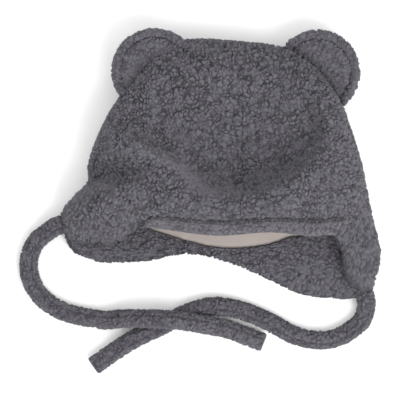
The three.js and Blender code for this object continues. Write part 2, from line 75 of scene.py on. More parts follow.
MOUTH = {
    "turn": [0.0, 0.05, 0.1, 0.145, 0.175, 0.2, 0.25, 0.3, 0.35, 0.39, 0.425, 0.46, 0.482, 0.5, 0.53,
             0.57, 0.62, 0.68, 0.74, 0.78, 0.84, 0.9, 0.95, 1.0],
    "x": [-0.497, -0.472, -0.413, -0.32, -0.272, -0.225, -0.016, 0.15, 0.277, 0.357, 0.385, 0.398, 0.43,
          0.478, 0.44, 0.36, 0.248, 0.107, -0.026, -0.111, -0.235, -0.37, -0.467, -0.497],
    "y": [-0.241, -0.285, -0.302, -0.303, -0.265, -0.248, -0.276, -0.264, -0.277, -0.277, -0.326, -0.42,
          -0.476, -0.492, -0.509, -0.511, -0.49, -0.412, -0.356, -0.344, -0.37, -0.374, -0.33, -0.241],
    "z": [0.18, 0.3, 0.27, 0.29, 0.38, 0.55, 0.7, 0.73, 0.69, 0.64, 0.52, 0.38, 0.28, 0.18, 0.05, 0.0,
          0.0, 0.0, 0.0, 0.0, 0.0, 0.0, 0.04, 0.18],
}
FACING_TOP = {
    "turn": [0.0, 0.1, 0.19, 0.29, 0.392, 0.45, 0.5, 0.58, 0.65, 0.68, 0.72, 0.75, 0.78, 0.82, 0.86,
             0.93, 1.0],
    "v": [0.9, 0.89, 0.92, 0.92, 0.92, 0.89, 0.875, 0.865, 0.893, 0.928, 0.962, 0.97, 0.955, 0.91, 0.866,
          0.885, 0.9],
}
# Folds of the front: rise, reach on the left and on the right of the stroke, and its path in plan.
FOLDS = [
    (-0.2, 0.1, 0.034, [(-0.25, 0.105), (-0.185, 0.078), (-0.123, 0.033), (-0.073, -0.033),
     (-0.033, -0.074), (0.02, -0.093), (0.104, -0.067), (0.179, -0.03), (0.235, 0.022),
     (0.273, 0.078), (0.282, 0.141), (0.26, 0.226)]),
    (0.13, 0.034, 0.085, [(-0.061, -0.141), (0.02, -0.156), (0.126, -0.13), (0.213, -0.089),
     (0.282, -0.026), (0.329, 0.052), (0.338, 0.145), (0.313, 0.256)]),
    (0.17, 0.03, 0.06, [(-0.335, 0.1), (-0.273, 0.07), (-0.226, 0.037), (-0.164, -0.015),
     (-0.117, -0.082), (-0.073, -0.13)]),
    (-0.22, 0.19, 0.19, [(-0.07, 0.11), (0.06, 0.09), (0.19, 0.11)]),
    (-0.26, 0.06, 0.026, [(-0.44, -0.09), (-0.385, -0.06), (-0.33, -0.045), (-0.28, -0.045)]),
    (0.1, 0.035, 0.06, [(-0.46, -0.15), (-0.4, -0.12), (-0.34, -0.11), (-0.25, -0.12), (-0.18, -0.15)]),
    (-0.08, 0.025, 0.03, [(-0.3, -0.13), (-0.285, -0.18), (-0.255, -0.24)]),
    (-0.18, 0.07, 0.08, [(0.39, -0.12), (0.42, -0.22), (0.43, -0.33), (0.44, -0.43)]),
]
FOLD_STEPS = 20
FOLD_END_SHARE = 0.08  # share of a half wave that a fold starts and ends at
FOLD_SIDE_RATE = 2.2  # how soon the folds reach their height away from the side creases
FOLD_TOP_SHARE = 0.12  # share of the way to the mouth over which they rise from the top edge
# Line along which the brow's fold is pressed flat and painted paler, a painted highlight along its crest
CREST = [(-0.3, 0.075), (-0.185, 0.011), (-0.134, -0.02), (-0.081, -0.074), (-0.045, -0.108),
         (0.02, -0.122), (0.08, -0.118)]
CREST_WIDTH = 5.5
CREST_LIFT = 0.8
CREST_TONE = 0.8  # pile height that the crest is coloured as, part of its painted highlight
CREST_PRESS = 0.6  # share of the pile that is pressed down on the crest, and of its colour that is painted at CREST_TONE

# Reach of the body's rounded edges, how flat its top edge is, and where and how fast the body takes on the
# mouth's outline
TOP_ROUNDING = 30.0
SIDE_ROUNDING = 48.0
UNDERSIDE_ROUNDING = 22.0
TOP_EDGE_FLATNESS = 4
PULL_FROM = 0.68
PULL_POWER = 1.5

# Centre seam
SEAM_TURN = 0.2685
HALF_SEAM = 0.15  # half of the space between the two crown panels

# Step over which a normal is measured, and the points from which columns and rows are spaced
NORMAL_STEP = 0.002
PROBES = 600
PROBE_ROW = 0.6  # row along which the columns are evenly spaced
BEND_LENGTH = 1.35  # way round the top edge's rounding, in its reaches

# The hem runs between these places round the mouth. The crown's edge ends above it, and steps down to the
# mouth's edge beside it.
HEM_FROM = 0.19
HEM_TO = 0.392
HEM_STEP = 0.002
HEM_MARGIN = 1.2  # steps from the hem's end to where the crown's edge is back at the mouth
HEM_GAP_SHARE = 0.6  # share of the layer gap between the crown's edge and the hem

HEM_MESH_STEP = 0.7
HEM_ROWS = 18
HEM_PILE = (0.65, 0.3)  # on the outside and the inside, as shares of the hat's
HEM_RIM_PILE = 0.05
HEM_CALM = 0.85

# Facing and lining, with their meshes' spacing
FACING_MESH_STEP = 0.65
FACING_ROWS = 70
FACING_PILE = (0.9, 0.66)  # size and height of its curls, as shares of the hat's
LINING_MESH_STEPS = (2.0, 2.5)
LINING_GAP_SHARE = 0.3  # share of the layer gap between the lining and the facing

# Stitches along the hem's top edge. The margin at the hem's ends is a place round the hat.
STITCH_MARGIN = 0.004
STITCH_ROUTE_POINTS = 400
STITCH_PLACE = 1.6  # below the hem's top edge
STITCH_SUNK = 0.15
STITCH_PITCH = 1.35  # from one stitch to the next, in stitches
STITCH_RADIUS = 0.45

# Depth and width of the grooves at the hem, at the centre seam and at the sewn edge of the flaps
HEM_GROOVE = (1.5, 2.0)
MIDDLE_GROOVE = (0.35, 1.2)
EDGE_GROOVE = (1.1, 1.3)
MIDDLE_SPREAD = 1.9  # width of one turn at the centre seam, as a share of the hat's width
GROOVE_SHADE = 0.25  # darkening for each millimetre of groove

# Pile: the heights that lie on the cloth's own surface and edge, and its reach from the mouth's edge
PILE_LEVEL = 0.6
RIM_LEVEL = 0.55
PILE_SCATTER = 0.86  # how far the curls are off an even grid
RIM_REACH = 4.0
RIM_STEP = 0.01
COARSER = 3  # the crown's inner skin has every third column and row
FLOOR_CLEARANCE = 0.05

# The solids stand centred on their outline; the tables are this far off it
CENTRE = np.array([0.593, -2.506, 0.0])

# Centre lines of the ties from the flap's tip to the sewn end. lift is the height above lying flat, as a
# share of the tie's height. TIE_ROOT is how far a tie reaches into its flap.
TIE_LEFT = {
    "x": [-0.507, -0.527, -0.581, -0.601, -0.573, -0.494, -0.375, -0.313, -0.255, -0.139, -0.022, 0.036,
          0.14],
    "y": [-0.241, -0.253, -0.307, -0.393, -0.491, -0.561, -0.593, -0.59, -0.587, -0.593, -0.616, -0.633,
          -0.68],
    "lift": [0.48, 0.34, 0.0, 0.0, 0.0, 0.0, 0.06, 0.36, 0.83, 1.04, 0.5, 0.12, 0.0],
}
TIE_RIGHT = {
    "x": [0.461, 0.463, 0.459, 0.439, 0.357, 0.252, 0.132, 0.023, -0.07, -0.201, -0.292, -0.398],
    "y": [-0.516, -0.534, -0.563, -0.609, -0.666, -0.658, -0.587, -0.546, -0.554, -0.627, -0.682, -0.768],
    "lift": [0.25, 0.25, 0.04, 0.0, 0.0, 0.0, 0.0, 0.0, 0.0, 0.0, 0.0, 0.0],
}
TIE_ROOT = 7.0
TIE_CLEARANCE = 0.3
TIE_SPACING = 0.8
TIE_SIDES = 56
TIE_STATED_EVERY = 6  # ring centres to one point of the path's list of centres
TIE_INSETS = (0.9, 0.3)  # kept back for the pile in width and in height
TIE_END_ROUNDING = 3.5
TIE_END_SHARE = 0.14  # share of the size that a tie loses at its ends
TIE_PILE = (0.72, 0.75)  # size and height of its curls, as shares of the hat's
TIE_SEAM_ANGLE = 1.95
TIE_SEAM_WIDTH = 0.12
TIE_SEAM_DEPTH = 0.7
TIE_SEAM_SHADE = 0.35

# Ears: the pile, its mean height, the share of its shading that is kept, the height that lies on the
# ear's own surface, and the shade beside the crown with its width
EAR_PILE = 0.75
EAR_TONE = 0.82
EAR_CONTRAST = 0.5
EAR_LEVEL = 0.45
EAR_SHADES = {"left": 0.22, "right": 0.5}
EAR_SHADE_WIDTH = 4.5
EAR_SHADE_GRID = (120, 70)  # points of the crown that the shade is measured from, round it and down it

# Stage. The camera looks straight down on CAMERA_OVER, a place in the frame of the tables. That place and
# the floor's reach are in millimetres, the other lengths in metres, the lamps' power in watts.
CAMERA_OVER = (-16.8, -33.4)
CAMERA_HEIGHT = 2.4
CAMERA_WIDTH = 0.343  # width of the picture
FOCUS_HEIGHT = 0.03  # where the picture has that width
SENSOR = 36
WORLD_LIGHT = 1.06
FLOOR_REACH = 3000
LAMP_AIM = (0, 0, 0.02)
LAMPS = {
    "key": {"place": (0.8, -1.0, 1.3), "size": 1.2, "power": 25},
    "fill": {"place": (-0.6, 0.6, 1.8), "size": 2.0, "power": 5},
}


class HatSizes(bpy.types.PropertyGroup):
    """Sizes of the hat, in millimetres"""

    width: bpy.props.FloatProperty(name="Width", description="Across the flaps", default=275.0)
    length: bpy.props.FloatProperty(name="Length", description="Ears to neck edge", default=231.0)
    depth: bpy.props.FloatProperty(name="Depth", description="Height of the puffed brow", default=70.0)
    fleece: bpy.props.FloatProperty(name="Fleece", description="Wall of the fleece", default=4.0)
    facing: bpy.props.FloatProperty(name="Facing", description="Wall of the facing", default=3.0)
    lining: bpy.props.FloatProperty(name="Lining", description="Wall of the jersey lining", default=1.0)
    layer_gap: bpy.props.FloatProperty(name="Layer gap", description="Between two layers", default=0.8)
    hem: bpy.props.FloatProperty(name="Hem", description="Depth of the turned hem", default=11.0)
    hem_wall: bpy.props.FloatProperty(name="Hem wall", description="Wall of the turned hem", default=6.5)
    curl: bpy.props.FloatProperty(name="Curl", description="Size of one curl of the pile", default=3.7)
    relief: bpy.props.FloatProperty(name="Relief", description="Height of the curls", default=3.8)
    mesh_step: bpy.props.FloatProperty(name="Mesh step", description="Mesh size on the front", default=0.7)
    tie_width: bpy.props.FloatProperty(name="Tie width", description="Width of a tie", default=17.0)
    tie_height: bpy.props.FloatProperty(name="Tie height", description="Height of a tie", default=11.5)
    stitch: bpy.props.FloatProperty(name="Stitch", description="Length of one stitch", default=2.6)


def colour(name, description, default):
    return bpy.props.FloatVectorProperty(
        name=name, description=description, default=default, subtype="COLOR", size=3, min=0, max=1
    )


class HatColours(bpy.types.PropertyGroup):
    """Colours of the hat's cloths"""

    # Painted shade: the crevice colour darkens the fleece between the curls, the tip colour lies on the
    # curls
    crevice: colour("Crevice", "Fleece between the curls", (0.053, 0.0505, 0.06))
    tip: colour("Tip", "Fleece on the curls", (0.121, 0.115, 0.134))
    hem: colour("Hem", "Pressed fleece of the hem", (0.122, 0.115, 0.131))
    lining: colour("Lining", "Jersey lining", (0.42, 0.37, 0.35))
    thread: colour("Thread", "Sewing thread", (0.05, 0.047, 0.055))
    floor: colour("Floor", "Surface that the hat lies on", (0.97, 0.97, 0.97))


def sizes():
    return bpy.context.scene.hat_sizes


def colours():
    return bpy.context.scene.hat_colours


def read(table, at, column, place):
    """A smooth curve through one column of a table, read at places in another column."""
    x = np.array(table[at], float)
    y = np.array(table[column], float)
    slope = np.empty_like(y)
    slope[1:-1] = (y[2:] - y[:-2]) / (x[2:] - x[:-2])
    slope[0] = (y[1] - y[0]) / (x[1] - x[0])
    slope[-1] = (y[-1] - y[-2]) / (x[-1] - x[-2])
    i = np.clip(np.searchsorted(x, place, side="left") - 1, 0, len(x) - 2)
    span = x[i + 1] - x[i]
    t = np.clip((place - x[i]) / span, 0, 1)
    rise = y[i + 1] - y[i]
    bend = (slope[i] * (1 - t) - slope[i + 1] * t) * span - rise * (1 - 2 * t)
    return y[i] + rise * t + t * (1 - t) * bend


def rounding(distance, reach):
    """A quarter round: 1 at distance 0, falling to 0 at the end of its reach."""
    left = np.maximum(0, 1 - distance / reach)
    return 1 - np.sqrt(1 - left * left)


def smooth_step(low, high, value):
    t = np.clip((value - low) / (high - low), 0, 1)
    return t * t * (3 - 2 * t)


def groove(distance, width):
    """A bell: 1 at distance 0, falling off over the width."""
    return np.exp(-((distance / width) ** 2))


def spline(points, steps):
    """Evenly timed points of a smooth curve through a few points."""
    p = np.array(points, float)
    t = np.linspace(0, len(p) - 1, steps + 1)
    i = np.minimum(t.astype(int), len(p) - 2)
    w = (t - i)[:, None]
    a, b = p[np.maximum(i - 1, 0)], p[i]
    c, d = p[i + 1], p[np.minimum(i + 2, len(p) - 1)]
    u, v = (c - a) / 2, (d - b) / 2
    return (2 * b - 2 * c + u + v) * w**3 + (3 * c - 3 * b - 2 * u - v) * w**2 + u * w + b


def beside(stroke, x, y):
    """Distance of plan points from a stroke, their side of it (1 left, -1 right) and the place along it."""
    nearest = np.full_like(x, 1e9)
    side = np.zeros_like(x)
    place = np.zeros_like(x)
    for k, (a, b) in enumerate(zip(stroke, stroke[1:])):
        dx, dy = b - a
        t = np.clip(((x - a[0]) * dx + (y - a[1]) * dy) / (dx * dx + dy * dy), 0, 1)
        away = np.hypot(x - a[0] - t * dx, y - a[1] - t * dy)
        closer = away < nearest
        cross = dx * (y - a[1]) - dy * (x - a[0])
        side = np.where(closer, cross / np.maximum(away * math.hypot(dx, dy), 1e-9), side)
        place = np.where(closer, (k + t) / FOLD_STEPS, place)
        nearest = np.where(closer, away, nearest)
    return nearest, side, place


def beside_path(path, x, y):
    """The same for a path given in shares of the hat's width and length."""
    s = sizes()
    return beside(spline(np.array(path) * [s.width, s.length], FOLD_STEPS), x, y)


def fold_lift(x, y):
    """How far the folds lift plan points."""
    s = sizes()
    lift = np.zeros_like(x)
    for rise, left_reach, right_reach, path in FOLDS:
        nearest, side, place = beside_path(path, x, y)
        reach = (right_reach + (left_reach - right_reach) * (side + 1) / 2) * s.width
        fade = np.sqrt(np.sin(np.pi * (FOLD_END_SHARE + (1 - 2 * FOLD_END_SHARE) * place)))
        lift += rise * s.depth * fade * groove(nearest, reach)
    return lift


def press_and_highlight(x, y):
    """How pressed the pile is along the brow's fold, and how strongly it is painted paler there as a
    highlight, 0 to 1.
    """
    nearest, _, place = beside_path(CREST, x, y)
    return groove(nearest, CREST_WIDTH) * np.sqrt(np.sin(np.pi * place))


def body_length():
    """From the crown's top edge to the mouth down the middle."""
    return (SECTIONS["middle"][0] - SECTIONS["middle"][-1]) * sizes().length


def section_point(turn, v):
    """Points of the body as the sections give it, without the mouth's outline or the folds."""
    s = sizes()
    column = {name: read(SECTIONS, "v", name, v) for name in SECTIONS if name != "v"}
    across = (1 - np.cos(2 * np.pi * turn)) / 2
    left, right = column["left"] * s.width, column["right"] * s.width
    bow = 1 - np.abs(2 * across - 1) ** TOP_EDGE_FLATNESS
    side_y = column["leftY"] + (column["rightY"] - column["leftY"]) * across
    y = (side_y + (column["middle"] - (column["leftY"] + column["rightY"]) / 2) * bow) * s.length
    crease = column["crease"] * s.depth
    from_top = v * body_length()
    from_side = np.minimum(across, 1 - across) * (right - left)

    def rounded(side_reach, top_reach):
        return (1 - rounding(from_side, side_reach)) * (1 - rounding(from_top, top_reach))

    front = crease + (column["top"] * s.depth - crease) * rounded(SIDE_ROUNDING, TOP_ROUNDING)
    back = crease * (1 - rounded(UNDERSIDE_ROUNDING, UNDERSIDE_ROUNDING))
    return np.stack([left + (right - left) * across, y, np.where(turn <= 0.5, front, back)], -1)


def mouth_point(turn):
    """Points of the mouth's edge."""
    s = sizes()
    x, y, z = (read(MOUTH, "turn", name, turn) for name in "xyz")
    return np.stack([x * s.width, y * s.length, np.maximum(0, z) * s.depth], -1)


def surface_point(place, v):
    """Points of the hat's outer surface."""
    turn = place - np.floor(place)
    point = section_point(turn, v)
    pull = np.maximum(0, (v - PULL_FROM) / (1 - PULL_FROM)) ** PULL_POWER
    point += (mouth_point(turn) - section_point(turn, np.ones_like(v))) * pull[..., None]
    hold = np.clip(FOLD_SIDE_RATE * np.sin(2 * np.pi * turn), 0, 1) * np.minimum(1, v / FOLD_TOP_SHARE)
    point[..., 2] += hold * fold_lift(point[..., 0], point[..., 1])
    return point


def surface_normal(turn, v):
    low = np.clip(v, NORMAL_STEP, 1)
    along = surface_point(turn, low) - surface_point(turn, low - NORMAL_STEP)
    across = surface_point(turn + NORMAL_STEP, low) - surface_point(turn - NORMAL_STEP, low)
    normal = np.cross(along, across)
    return normal / np.maximum(np.linalg.norm(normal, axis=-1, keepdims=True), 1e-9)


def surface(turn, v):
    """Points and outward normals. Front and back share the normals of the crown's top edge."""
    normal = surface_normal(turn, v)
    edge = v <= 0
    if edge.any():
        shared = normal[edge] + surface_normal(1 - turn[edge], v[edge])
        normal[edge] = shared / np.linalg.norm(shared, axis=-1, keepdims=True)
    return surface_point(turn, v) - CENTRE, normal


def hashed(cells, seed):
    """Three even random numbers from 0 to 1 for each whole-number cell."""
    c = cells.astype(np.int64).astype(np.uint32)
    h = c[..., 0] * np.uint32(73856093) ^ c[..., 1] * np.uint32(19349663) ^ c[..., 2] * np.uint32(83492791)
    out = []
    for k in range(3):
        g = h + np.uint32(seed * 7919 + k * 104729)
        g = (g ^ (g >> np.uint32(16))) * np.uint32(0x45D9F3B)
        g = (g ^ (g >> np.uint32(16))) * np.uint32(0x45D9F3B)
        g = g ^ (g >> np.uint32(16))
        out.append(g / 4294967296.0)
    return np.stack(out, -1)


def drift(points, size, seed):
    """Smooth random vectors, from -1 to 1, that change over the given size."""
    q = points / size
    base = np.floor(q)
    f = q - base
    f = f * f * (3 - 2 * f)
    total = np.zeros_like(q)
    for corner in product((0, 1), repeat=3):
        c = np.array(corner)
        weight = np.prod(np.where(c == 1, f, 1 - f), -1)[..., None]
        total += weight * (hashed(base + c, seed) * 2 - 1)
    return total


def nearest_two(points, size, seed):
    """Distances to the nearest and second nearest scattered point, in units of size."""
    q = points / size
    base = np.floor(q)
    first = np.full(q.shape[:-1], 9.0)
    second = first.copy()
    for offset in product((-1, 0, 1), repeat=3):
        cell = base + np.array(offset)
        away = cell + 0.5 + (hashed(cell, seed) - 0.5) * PILE_SCATTER - q
        d = np.sqrt((away * away).sum(-1))
        second = np.minimum(second, np.maximum(first, d))
        first = np.minimum(first, d)
    return first, second


def pile(points, curl):
    """Height of the curly pile, 0 between the curls and about 1 on them, at points in millimetres."""
    bent = points + drift(points, curl * 0.9, 3) * curl * 0.6 + drift(points, curl * 3.1, 5) * curl * 0.5
    first, second = nearest_two(bent, curl, 11)
    # Each curl is a dome, parted from the next by a crevice of changing depth
    dome = np.sqrt(np.clip(1 - (first / 0.9) ** 2, 0, 1))
    depth = np.clip(0.75 + 0.6 * drift(points, curl * 1.1, 29)[..., 0], 0.2, 1)
    crevice = depth * (1 - smooth_step(0.0, 0.34, second - first))
    # Small loops lie on the curls, and larger clumps stand out a little
    loops = 0.5 - nearest_two(points + drift(points, curl * 0.4, 7) * curl * 0.2, curl * 0.42, 23)[0]
    clump = drift(points, curl * 2.4, 31)[..., 0]
    return np.clip(0.42 + 0.5 * dome - 0.5 * crevice + 0.24 * loops + 0.03 * clump, 0, 1.15)


def make_object(name, vertices, faces, attributes=None):
    """A smooth mesh object from points in millimetres."""
    mesh = bpy.data.meshes.new(name)
    mesh.from_pydata((np.asarray(vertices) * MM).tolist(), [], [list(map(int, f)) for f in faces])
    for key, values in (attributes or {}).items():
        layer = mesh.attributes.new(key, "FLOAT", "POINT")
        layer.data.foreach_set("value", np.asarray(values, np.float32))
    mesh.polygons.foreach_set("use_smooth", [True] * len(mesh.polygons))
    mesh.update()
    obj = bpy.data.objects.new(name, mesh)
    bpy.context.scene.collection.objects.link(obj)
    return obj


def weld(obj, distance=1e-5):
    """Merges corners that share a place and drops what collapses."""
    bm = bmesh.new()
    bm.from_mesh(obj.data)
    bmesh.ops.remove_doubles(bm, verts=bm.verts, dist=distance)
    bmesh.ops.dissolve_degenerate(bm, edges=bm.edges, dist=distance)
    bm.to_mesh(obj.data)
    bm.free()
    obj.data.update()
    return obj


def applied(obj):
    """Turns the object's live modifiers into its mesh."""
    graph = bpy.context.evaluated_depsgraph_get()
    mesh = bpy.data.meshes.new_from_object(obj.evaluated_get(graph))
    obj.modifiers.clear()
    obj.data = mesh
    mesh.name = obj.name
    return obj


def skin_faces(turns, index, meets):
    """Faces of a grid of corners, a column of it for each turn, that face out of the hat. Where front and
    back meet at the crown's top edge, a face of the back takes in the front's corners between its own."""
    grid = np.stack([index[:-1, :-1], index[:-1, 1:], index[1:, 1:], index[1:, :-1]], -1)
    top = grid[:, 0].tolist()
    turn = turns - np.floor(turns)
    for column in np.nonzero((turn[:-1] >= 0.5) & meets)[0]:
        low, high = turn[column], turn[column + 1] or 1.0
        between = np.nonzero((1 - turn > low + 1e-6) & (1 - turn < high - 1e-6))[0]
        top[column] += index[between[np.argsort(turn[between])], 0].tolist()
    return top + grid[:, 1:].reshape(-1, 4).tolist()


def band(outer, inner, flipped):
    """Faces that join one edge of the outer skin to the same edge of the inner, which may be coarser."""
    step = (len(outer) - 1) // (len(inner) - 1)
    faces = [[*outer[k * step : (k + 1) * step + 1], inner[k + 1], inner[k]] for k in range(len(inner) - 1)]
    return [face[::-1] for face in faces] if flipped else faces


def columns_between(start, end, step, multiple=1):
    """Places round the hat from start to end, a step apart. Their spaces are a multiple of the last one."""
    probe = np.linspace(start, end, PROBES)
    mid = surface_point(probe, np.full_like(probe, PROBE_ROW))
    length = np.concatenate([[0], np.cumsum(np.linalg.norm(np.diff(mid, axis=0), axis=1))])
    count = multiple * max(2, round(length[-1] / step / multiple))
    return np.interp(np.linspace(0, length[-1], count + 1), length, probe)


def rows_from_top(step):
    """Places from the crown's top edge to the mouth, closer together in the rounding of the edge."""
    reach = TOP_ROUNDING / body_length()
    round_count = COARSER * round(BEND_LENGTH * TOP_ROUNDING / step / COARSER)
    rest = COARSER * round((1 - reach) * body_length() / step / COARSER)
    bend = reach * (1 - np.cos(np.linspace(0, np.pi / 2, round_count + 1)))
    return np.concatenate([bend, np.linspace(reach, 1, rest + 1)[1:]])


def seam_dip(turn, v):
    """How deep the seams draw the surface in, in millimetres."""
    s = sizes()
    from_hem = np.abs(v - hem_top() + 0.5 * s.layer_gap / body_length()) * body_length()
    beyond = np.maximum(0, np.maximum(HEM_FROM - turn, turn - HEM_TO)) * math.pi * s.width
    from_middle = np.abs(np.minimum(turn, 1 - turn) - SEAM_TURN) * MIDDLE_SPREAD * s.width
    from_edge = (1 - v) * body_length()
    hem = HEM_GROOVE[0] * groove(np.hypot(from_hem, beyond), HEM_GROOVE[1])
    middle = MIDDLE_GROOVE[0] * (1 - v) * groove(from_middle, MIDDLE_GROOVE[1])
    edge = EDGE_GROOVE[0] * groove(from_edge, EDGE_GROOVE[1]) * (beyond > 0)
    return hem + middle + edge


def rim_shift(turn, v, point, curl, rim):
    """How far the pile moves points near the mouth's edge along the cloth, out over the edge."""
    along = surface_point(turn, v) - surface_point(turn, v - RIM_STEP)
    along /= np.maximum(np.linalg.norm(along, axis=-1, keepdims=True), 1e-9)
    share = smooth_step(1 - RIM_REACH / body_length(), 1, v)
    return along * (share * (pile(point, curl) - RIM_LEVEL) * rim)[..., None]


def skin(turn, v, point, normal, depth, curl, relief, side, calm):
    """One skin of a layer: its points, its pile's height, which also paints shade between the curls and in
    the grooves, and how much of it is pressed, and painted paler as a highlight, on the brow's crest. side
    is 1 for the outer skin and -1 for the inner one."""
    place = point - normal * depth
    height = pile(place, curl) if relief else np.zeros_like(v)
    lift = (height - PILE_LEVEL) * relief * (1 - calm * smooth_step(1 - RIM_REACH / body_length(), 1, v))
    crest_press_and_highlight = np.zeros_like(height)
    if side == 1 and depth == 0:
        turn = turn - np.floor(turn)
        crest_press_and_highlight = press_and_highlight(point[..., 0] + CENTRE[0], point[..., 1] + CENTRE[1]) * (turn < 0.5)
        dip = seam_dip(turn, v)
        lift = lift * (1 - CREST_PRESS * crest_press_and_highlight) + CREST_LIFT * crest_press_and_highlight - dip
        # The crest's colour takes an even, paler height, a painted highlight, and the grooves darken it,
        # painted shade
        height = height + (CREST_TONE - height) * CREST_PRESS * crest_press_and_highlight - GROOVE_SHADE * dip
    place = place + normal * (side * lift)[..., None]
    place[..., 2] = np.maximum(place[..., 2], FLOOR_CLEARANCE)
    return place, height, crest_press_and_highlight


def wall(name, turns, rows, depths, curl=0.0, relief=(0.0, 0.0), rim=0.0, coarser=1, calm=0.0):
    """A cloth layer between two depths below the surface. rows holds each column's rows, one column a line.
    relief is the pile's height on the outer skin and the inner one, and rim on the mouth's edge. calm is
    how far the pile is pressed down there. The inner skin has every coarser-th column and row. Columns that
    go once round the hat make a closed ring."""
    closed = turns[-1] - turns[0] == 1
    meets = rows.min() == 0
    own = rows[:-1] if closed else rows
    turn = np.repeat(turns[: len(own), None], own.shape[1], 1)
    point, normal = surface(turn, own)
    edge = own > 1 - RIM_REACH / body_length()
    if rim:
        point[edge] += rim_shift(turn[edge], own[edge], point[edge], curl, rim)
    skins, faces, edges, start = [], [], [], 0
    for side, depth, height, every in ((1, depths[0], relief[0], 1), (-1, depths[1], relief[1], coarser)):
        at = (slice(None, None, every), slice(None, None, every))
        made = skin(turn[at], own[at], point[at], normal[at], depth, curl, height, side, calm)
        index = np.arange(made[1].size).reshape(made[1].shape) + start
        start += index.size
        if closed:
            index = np.vstack([index, index[:1]])
        part = skin_faces(turns[::every], index, meets)
        faces += part if side == 1 else [face[::-1] for face in part]
        skins.append(made)
        edges.append(index)
    outer, inner = edges
    faces += band(outer[:, -1], inner[:, -1], True)
    if not meets:
        faces += band(outer[:, 0], inner[:, 0], False)
    if not closed:
        faces += band(outer[0], inner[0], True)
        faces += band(outer[-1], inner[-1], False)
    points = np.concatenate([made[0].reshape(-1, 3) for made in skins])
    attributes = {
        "pile": np.concatenate([made[1].ravel() for made in skins]),
        "crest_press_and_highlight": np.concatenate([made[2].ravel() for made in skins]),
    }
    obj = make_object(name, points, faces, attributes)
    return weld(obj) if meets else obj


class Value:
    """A shader socket that takes part in Python arithmetic."""

    def __init__(self, shader, socket):
        self.shader = shader
        self.socket = socket

    def _math(self, operation, other):
        node = self.shader.node("ShaderNodeMath", {"operation": operation})
        self.shader.feed(node.inputs[0], self)
        self.shader.feed(node.inputs[1], other)
        return Value(self.shader, node.outputs[0])

    def __add__(self, other):
        return self._math("ADD", other)

    def __sub__(self, other):
        return self._math("SUBTRACT", other)

    def __mul__(self, other):
        return self._math("MULTIPLY", other)

    def clamped(self):
        return self._math("MAXIMUM", 0.0)._math("MINIMUM", 1.0)


class Shader:
    """A material whose nodes are written as calls and expressions."""

    def __init__(self, name, roughness, sheen=0.0):
        self.material = bpy.data.materials.new(name)
        self.material.use_nodes = True
        self.nodes = self.material.node_tree.nodes
        self.links = self.material.node_tree.links
        self.nodes.clear()
        self.surface = self.node("ShaderNodeBsdfPrincipled")
        self.surface.inputs["Roughness"].default_value = roughness
        self.surface.inputs["Specular IOR Level"].default_value = 0.2
        self.surface.inputs["Sheen Weight"].default_value = sheen
        self.surface.inputs["Sheen Roughness"].default_value = 0.6
        output = self.node("ShaderNodeOutputMaterial")
        self.links.new(self.surface.outputs[0], output.inputs[0])
        self.place = self.node("ShaderNodeTexCoord").outputs["Object"]

    def node(self, kind, settings=None, **inputs):
        made = self.nodes.new(kind)
        for key, value in (settings or {}).items():
            setattr(made, key, value)
        for key, value in inputs.items():
            self.feed(made.inputs[key.replace("_", " ")], value)
        return made

    def feed(self, slot, value):
        if isinstance(value, Value):
            value = value.socket
        if isinstance(value, bpy.types.NodeSocket):
            self.links.new(value, slot)
        else:
            slot.default_value = value

    def attribute(self, name):
        node = self.node("ShaderNodeAttribute", {"attribute_name": name})
        return Value(self, node.outputs["Fac"])

    def noise(self, scale, detail):
        node = self.node("ShaderNodeTexNoise", Vector=self.place, Scale=scale, Detail=detail)
        return Value(self, node.outputs["Fac"])

    def cells(self, scale):
        node = self.node("ShaderNodeTexVoronoi", Vector=self.place, Scale=scale)
        return Value(self, node.outputs["Distance"])

    def mix(self, factor, a, b):
        node = self.nodes.new("ShaderNodeMix")
        node.data_type = "RGBA"
        for slot, value in zip((node.inputs[0], node.inputs[6], node.inputs[7]), (factor, a, b)):
            self.feed(slot, value)
        return node.outputs[2]

    def bump(self, height, distance, strength):
        node = self.node("ShaderNodeBump", Height=height, Distance=distance, Strength=strength)
        self.feed(self.surface.inputs["Normal"], node.outputs["Normal"])


def rgba(rgb, factor=1.0):
    return (*(min(1.0, c * factor) for c in rgb), 1.0)


def once(name, build):
    """The named material, made on first use."""
    return bpy.data.materials.get(name) or build(name)


def fleece_material(name, crevice, tip):
    shader = Shader(name, roughness=0.95, sheen=0.12)
    height = shader.attribute("pile")
    fuzz = shader.noise(1400.0, 4.0)
    tone = shader.noise(26.0, 2.0)
    # The pile's height mixes the crevice colour, painted shade between the curls, into the tip colour on
    # the curls
    amount = (height * 1.7 - 0.6 + (fuzz - 0.5) * 0.9).clamped()
    # Random tone and the brow's crest make the tips paler; the crest's part is a painted highlight
    tone_and_highlight = (tone * 0.4 + shader.attribute("crest_press_and_highlight") * 0.6).clamped()
    tip_tone_and_highlight = shader.mix(tone_and_highlight, rgba(tip, 0.94), rgba(tip, 1.35))
    shader.feed(shader.surface.inputs["Base Color"], shader.mix(amount, rgba(crevice), tip_tone_and_highlight))
    curl = shader.cells(900.0) * -0.6 + fuzz * 0.8
    shader.bump(curl, 0.0009, 0.9)
    return shader.material


def fleece():
    c = colours()
    return once("teddy_fleece", lambda name: fleece_material(name, c.crevice, c.tip))


def pressed_fleece(name):
    c = colours()
    return fleece_material(name, c.crevice, c.hem)


